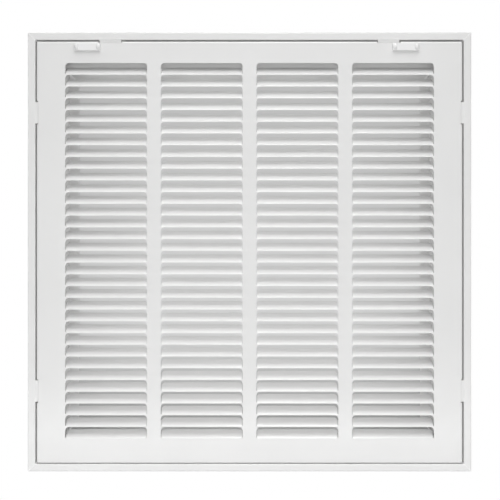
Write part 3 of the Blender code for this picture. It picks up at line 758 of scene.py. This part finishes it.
def blade_end(bm, x, inward, nose_z, above):
    """One end of a slot, under the line above it: the round corner of the cut, the blade's
    own round corner and the short web at its nose.

    Returns the bar's edge, from the top, and the blade's lines, from its end inwards.
    """
    corner = [bm.verts.new((x, FACE_Y, nose_z + SLOT_PITCH - LANCE_RADIUS))]
    lines = []
    for step in range(LANCE_STEPS + 1):
        angle = math.pi / 2 * step / LANCE_STEPS
        inset = lance_inset(step)
        if step < LANCE_STEPS:
            drop = LANCE_RADIUS - math.sqrt(LANCE_RADIUS**2 - (LANCE_RADIUS - inset) ** 2)
            place = (x + inward * inset, FACE_Y, nose_z + SLOT_PITCH - drop)
            corner.append(bm.verts.new(place))
        reach = BLADE_REACH - LANCE_RADIUS * (1 - math.sin(angle))
        lines.append(blade_line(bm, x + inward * inset, nose_z, reach))
    for index in range(LANCE_STEPS):
        bm.faces.new((above[index], corner[index], corner[index + 1], above[index + 1]))
    bm.faces.new((above[-2], corner[-1], above[-1]))
    root = []
    for step in range(FOLD_STEPS + 1):
        height = FOLD_LENGTH * step / FOLD_STEPS
        root.append(bm.verts.new((x, FACE_Y, nose_z + height)))
    join_lines(bm, [root, lines[0]])
    join_lines(bm, lines)
    return [corner[0]] + root[::-1], lines


def join_lines(bm, lines):
    """Fill a grid of points with quads."""
    for near, far in zip(lines, lines[1:]):
        for index in range(len(near) - 1):
            bm.faces.new((near[index], far[index], far[index + 1], near[index + 1]))


def louvre_surface():
    """The front surface of the door as one open sheet, with finely curved blades."""
    bm = bmesh.new()
    insets = [0] + [lance_inset(step) for step in range(LANCE_STEPS + 1)]
    top_line = []
    bottom_line = []
    bar_edges = []
    for column in range(COLUMNS):
        left = -FIELD_WIDTH / 2 + column * (SLOT_LENGTH + COLUMN_BAR)
        ends = ((left, 1), (left + SLOT_LENGTH, -1))
        above = []
        for x, inward in ends:
            places = [(x + inward * inset, FACE_Y, FIELD_TOP) for inset in insets]
            above.append([bm.verts.new(place) for place in places])
        edges = [[above[0][0]], [above[1][0]]]
        top_line += above[0] + above[1][::-1]
        for row in range(ROWS):
            nose_z = FIELD_TOP - (row + 1) * SLOT_PITCH
            inner = []
            for side, (x, inward) in enumerate(ends):
                edge, lines = blade_end(bm, x, inward, nose_z, above[side])
                edges[side] += edge
                above[side] = [edge[-1]] + [line[0] for line in lines]
                inner.append(lines[-1])
            join_lines(bm, inner)
        bottom_line += above[0] + above[1][::-1]
        bar_edges += edges
    close_face(bm, top_line, bottom_line, bar_edges)
    mesh = bpy.data.meshes.new("door_panel")
    bm.to_mesh(mesh)
    bm.free()
    return mesh


def close_face(bm, top_line, bottom_line, bar_edges):
    """Fill the bars between the columns and the borders, add the rim, and face it forwards."""
    for near, far in zip(bar_edges[1:-1:2], bar_edges[2::2]):
        join_lines(bm, [near, far])
    top_left, top_right, bottom_right, bottom_left = add_rim(bm)
    bm.faces.new(top_left + top_right + top_line[::-1])
    bm.faces.new(bottom_right + bottom_left + bottom_line)
    bm.faces.new([bottom_left[-1], top_left[0]] + bar_edges[0])
    bm.faces.new([top_right[-1], bottom_right[0]] + bar_edges[-1][::-1])
    bmesh.ops.recalc_face_normals(bm, faces=bm.faces)
    front = max(bm.faces, key=lambda face: face.calc_area())
    if front.normal.y > 0:
        bmesh.ops.reverse_faces(bm, faces=bm.faces)


def build_door(collection, paint):
    """The stamped door with finely curved blades."""
    door = add_object("panel", louvre_surface(), collection, paint)
    sheet = door.modifiers.new("sheet", "SOLIDIFY")
    sheet.thickness = SHEET
    sheet.offset = -1
    boxes = notch_boxes() + hinge_slot_boxes() + latch_slot_boxes()
    tool = add_cutter("door_cuts", merge_meshes("door_cuts", boxes), collection)
    boolean(door, tool, "DIFFERENCE")
    bake(door, "door_panel", "door", "door", collection)


def build_pads(collection, paint):
    """The two finger pads with finely rounded grips."""
    for side, inward, advance in (("left", 1, 0), ("right", -1, RIGHT_LATCH_ADVANCE)):
        knob = build_knob(-inward * (UNLOCKED_CENTRE - advance), collection, paint)
        node = "latch_knob_" + side
        bake(knob, "pad_" + side, "latch_" + side, node, collection, PAD_SHARP_DEGREES)


def shader_of(material):
    """The Principled shader of a material."""
    return material.node_tree.nodes["Principled BSDF"]


def noise(material, scale, detail, vector):
    """A noise texture in the frame's own coordinates."""
    node = material.node_tree.nodes.new("ShaderNodeTexNoise")
    node.inputs["Scale"].default_value = scale
    node.inputs["Detail"].default_value = detail
    material.node_tree.links.new(vector, node.inputs["Vector"])
    return node.outputs["Fac"]


def ramp(material, value, low, high, socket):
    """Send a value, spread between two limits, to a socket."""
    node = material.node_tree.nodes.new("ShaderNodeMapRange")
    node.inputs["From Min"].default_value = NOISE_LOW
    node.inputs["From Max"].default_value = NOISE_HIGH
    node.inputs["To Min"].default_value = low
    node.inputs["To Max"].default_value = high
    material.node_tree.links.new(value, node.inputs["Value"])
    material.node_tree.links.new(node.outputs["Result"], socket)


def mix_colours(material, value, shades, socket):
    """Blend two colours by a value."""
    node = material.node_tree.nodes.new("ShaderNodeValToRGB")
    node.color_ramp.elements[0].position = NOISE_LOW
    node.color_ramp.elements[0].color = (*shades[0], 1)
    node.color_ramp.elements[1].position = NOISE_HIGH
    node.color_ramp.elements[1].color = (*shades[1], 1)
    material.node_tree.links.new(value, node.inputs["Fac"])
    material.node_tree.links.new(node.outputs["Color"], socket)


def add_bump(material, value, strength, distance):
    """Raise the surface by a value."""
    node = material.node_tree.nodes.new("ShaderNodeBump")
    node.inputs["Strength"].default_value = strength
    node.inputs["Distance"].default_value = distance
    material.node_tree.links.new(value, node.inputs["Height"])
    material.node_tree.links.new(node.outputs["Normal"], shader_of(material).inputs["Normal"])


def frame_coordinates(material):
    """Object coordinates, which are the frame's own on every piece."""
    node = material.node_tree.nodes.new("ShaderNodeTexCoord")
    return node.outputs["Object"]


def new_material(name):
    """A material with nodes."""
    material = bpy.data.materials.new(name)
    material.use_nodes = True
    return material


def powder_coat(name, shades, roughness):
    """White powder coat: faint cloudiness, orange peel and a soft sheen."""
    material = new_material(name)
    shader = shader_of(material)
    place = frame_coordinates(material)
    cloud = noise(material, PAINT_CLOUD_SCALE, FINE_NOISE_DETAIL, place)
    mix_colours(material, cloud, shades, shader.inputs["Base Color"])
    smooth = roughness - PAINT_SHEEN_SPREAD
    rough = roughness + PAINT_SHEEN_SPREAD
    sheen = noise(material, PAINT_SHEEN_SCALE, NOISE_DETAIL, place)
    ramp(material, sheen, smooth, rough, shader.inputs["Roughness"])
    peel = noise(material, PAINT_PEEL_SCALE, NOISE_DETAIL, place)
    add_bump(material, peel, PAINT_PEEL_STRENGTH, PAINT_PEEL_DEPTH)
    shader.inputs["Specular IOR Level"].default_value = PAINT_SPECULAR
    return material


def zinc_plate(name):
    """Zinc-plated steel: fine rolled grain and a dull metallic shine."""
    material = new_material(name)
    shader = shader_of(material)
    place = frame_coordinates(material)
    stretch = material.node_tree.nodes.new("ShaderNodeMapping")
    stretch.inputs["Scale"].default_value = ZINC_GRAIN_STRETCH
    material.node_tree.links.new(place, stretch.inputs["Vector"])
    grain = noise(material, ZINC_GRAIN_SCALE, FINE_NOISE_DETAIL, stretch.outputs["Vector"])
    mix_colours(material, grain, ZINC_SHADES, shader.inputs["Base Color"])
    sheen = noise(material, ZINC_SHEEN_SCALE, NOISE_DETAIL, place)
    ramp(material, sheen, *ZINC_ROUGHNESS, shader.inputs["Roughness"])
    add_bump(material, grain, ZINC_GRAIN_STRENGTH, ZINC_GRAIN_DEPTH)
    shader.inputs["Metallic"].default_value = ZINC_METALLIC
    return material


def dress_node(node, material):
    """Give a CAD node a better material."""
    for item in frame["nodes"][node].material_slots:
        item.material = material


def one_sided_sheet(name, glow_share=None):
    """A plain pale sheet that isn't there for whoever stands behind it.

    With a glow share it glows with painted light, though it is no lamp, and shows the camera
    painted shade by height; without, it is white to the camera and pale to all else.
    """
    material = new_material(name)
    nodes = material.node_tree.nodes
    links = material.node_tree.links
    pale = nodes.new("ShaderNodeBsdfDiffuse")
    pale.inputs["Color"].default_value = SHEET_COLOUR
    glow = nodes.new("ShaderNodeEmission")
    glow.inputs["Color"].default_value = WHITE
    seen = nodes.new("ShaderNodeMixShader")
    links.new(pale.outputs["BSDF"], seen.inputs[1])
    links.new(glow.outputs["Emission"], seen.inputs[2])
    clear = nodes.new("ShaderNodeBsdfTransparent")
    facing = nodes.new("ShaderNodeNewGeometry")
    sided = nodes.new("ShaderNodeMixShader")
    links.new(facing.outputs["Backfacing"], sided.inputs["Fac"])
    links.new(seen.outputs["Shader"], sided.inputs[1])
    links.new(clear.outputs["BSDF"], sided.inputs[2])
    links.new(sided.outputs["Shader"], nodes["Material Output"].inputs["Surface"])
    path = nodes.new("ShaderNodeLightPath")
    if glow_share:
        seen.inputs["Fac"].default_value = glow_share
        shade_by_height(material, path.outputs["Is Camera Ray"], glow.inputs["Strength"])
    else:
        links.new(path.outputs["Is Camera Ray"], seen.inputs["Fac"])
    return material


def shade_by_height(material, seen_directly, socket):
    """Send the paper's painted light, dimmer at its sides, and to the camera a painted shade by
    height.
    """
    nodes = material.node_tree.nodes
    links = material.node_tree.links
    place_on_sheet = nodes.new("ShaderNodeSeparateXYZ")
    links.new(frame_coordinates(material), place_on_sheet.inputs["Vector"])
    place = nodes.new("ShaderNodeMapRange")
    place.inputs["From Min"].default_value = CENTRE_Z - PAPER_SHADE_HALF_HEIGHT
    place.inputs["From Max"].default_value = CENTRE_Z + PAPER_SHADE_HALF_HEIGHT
    links.new(place_on_sheet.outputs["Z"], place.inputs["Value"])
    shade = nodes.new("ShaderNodeValToRGB")
    steps = shade.color_ramp.elements
    while len(steps) < len(PAPER_SHADE):
        steps.new(0.5)
    for step, (position, grey) in zip(steps, PAPER_SHADE):
        step.position = position
        step.color = (grey, grey, grey, 1)
    links.new(place.outputs["Result"], shade.inputs["Fac"])
    across = nodes.new("ShaderNodeMath")
    across.operation = "ABSOLUTE"
    links.new(place_on_sheet.outputs["X"], across.inputs[0])
    fall = nodes.new("ShaderNodeMapRange")
    fall.inputs["From Min"].default_value = PAPER_LIGHT_HALF_WIDTH
    fall.inputs["From Max"].default_value = PAPER_DIM_HALF_WIDTH
    fall.inputs["To Min"].default_value = PAPER_LIGHT
    fall.inputs["To Max"].default_value = PAPER_LIGHT_AT_EDGE
    links.new(across.outputs["Value"], fall.inputs["Value"])
    level = nodes.new("ShaderNodeMapRange")
    links.new(fall.outputs["Result"], level.inputs["To Min"])
    links.new(seen_directly, level.inputs["Value"])
    links.new(shade.outputs["Color"], level.inputs["To Max"])
    links.new(level.outputs["Result"], socket)


def add_sheet(name, corners, material, collection):
    """A flat sheet of the stage."""
    mesh = bpy.data.meshes.new(name)
    mesh.from_pydata(corners, [], [(0, 1, 2, 3)])
    mesh.materials.append(material)
    sheet = bpy.data.objects.new(name, mesh)
    collection.objects.link(sheet)


def add_stage(collection):
    """The sheet of paper that the neck's rear lip stands against, and the floor in front."""
    x = OUTER_WIDTH / 2 - NECK_INSET - PAPER_MARGIN
    half_height = OUTER_HEIGHT / 2 - NECK_INSET - PAPER_MARGIN
    y = NECK_DEPTH + PAPER_GAP
    low = CENTRE_Z - half_height
    high = CENTRE_Z + half_height
    corners = [(-x, y, low), (x, y, low), (x, y, high), (-x, y, high)]
    # The paper glows with painted light and shows the camera painted shade by height
    paper = one_sided_sheet("paper", PAPER_GLOW_SHARE)
    add_sheet("paper_behind", corners, paper, collection)
    x = FLOOR_HALF_WIDTH
    z = CENTRE_Z - FLOOR_DROP
    corners = [(-x, FLOOR_FRONT, z), (x, FLOOR_FRONT, z), (x, FLOOR_BACK, z), (-x, FLOOR_BACK, z)]
    add_sheet("floor", corners, one_sided_sheet("white_floor"), collection)


def add_world():
    """White to the camera, and a plain level of light elsewhere."""
    world = bpy.data.worlds.new("studio")
    bpy.context.scene.world = world
    world.use_nodes = True
    nodes = world.node_tree.nodes
    links = world.node_tree.links
    ambient = nodes["Background"]
    ambient.inputs["Color"].default_value = WHITE
    ambient.inputs["Strength"].default_value = WORLD_STRENGTH
    white = nodes.new("ShaderNodeBackground")
    white.inputs["Color"].default_value = WHITE
    white.inputs["Strength"].default_value = 1
    path = nodes.new("ShaderNodeLightPath")
    mix = nodes.new("ShaderNodeMixShader")
    links.new(path.outputs["Is Camera Ray"], mix.inputs["Fac"])
    links.new(ambient.outputs["Background"], mix.inputs[1])
    links.new(white.outputs["Background"], mix.inputs[2])
    links.new(mix.outputs["Shader"], nodes["World Output"].inputs["Surface"])


def add_area_light(name, place, target, width, height, power, collection):
    """A soft panel light turned to a point, and hidden from the camera."""
    data = bpy.data.lights.new(name, "AREA")
    data.shape = "RECTANGLE"
    data.size = width
    data.size_y = height
    data.energy = power
    light = bpy.data.objects.new(name, data)
    light.location = place
    light.rotation_euler = (Vector(target) - Vector(place)).to_track_quat("-Z", "Y").to_euler()
    light.visible_camera = False
    collection.objects.link(light)


def add_sun(name, place, softness, strength, collection):
    """One distant light, from the direction of its place."""
    data = bpy.data.lights.new(name, "SUN")
    data.energy = strength
    data.angle = math.radians(softness)
    sun = bpy.data.objects.new(name, data)
    sun.location = Vector(place) * SUN_DISTANCE
    sun.rotation_euler = (-Vector(place)).to_track_quat("-Z", "Y").to_euler()
    collection.objects.link(sun)


def add_lights(collection):
    """Distant lights from above, and panels over, in front, behind, beside and low in front."""
    for name, place, softness, strength in SUNS:
        add_sun(name, place, softness, strength, collection)
    for name, place, target_z, width, height, power in PANELS:
        add_area_light(name, place, (0, 0, target_z), width, height, power, collection)


def add_camera(collection):
    """A level camera, straight in front, at the photo's distance and frame."""
    data = bpy.data.cameras.new("camera")
    data.sensor_width = SENSOR_WIDTH
    data.lens = SENSOR_WIDTH * CAMERA_DISTANCE / PHOTO_WIDTH_AT_FACE
    camera = bpy.data.objects.new("camera", data)
    camera.location = (CAMERA_ACROSS, FACE_Y - CAMERA_DISTANCE, CENTRE_Z + CAMERA_UP)
    camera.rotation_euler = (math.pi / 2, 0, 0)
    collection.objects.link(camera)
    bpy.context.scene.camera = camera


def main():
    """Dress the grille, light it and set the camera."""
    collection = bpy.data.collections.new("grille_looks")
    bpy.context.scene.collection.children.link(collection)
    paint = powder_coat("powder_coat_white", PAINT_SHADES, PAINT_ROUGHNESS)
    # The pads' coat is whiter than the sheet's: painted light on the pads and their grips
    pad_paint_painted_light = powder_coat("powder_coat_pads", PAD_SHADES_PAINTED_LIGHT, PAD_ROUGHNESS)
    zinc = zinc_plate("zinc_plate_satin")
    build_rails(collection, paint)
    build_door(collection, paint)
    build_pads(collection, pad_paint_painted_light)
    for node in frame["nodes"]:
        if node.startswith("rivet"):
            dress_node(node, paint)
        if node.startswith(("latch_bolt", "latch_keeper")):
            dress_node(node, zinc)
    add_stage(collection)
    add_world()
    add_lights(collection)
    add_camera(collection)
    bpy.context.scene.view_settings.view_transform = "Standard"


main()
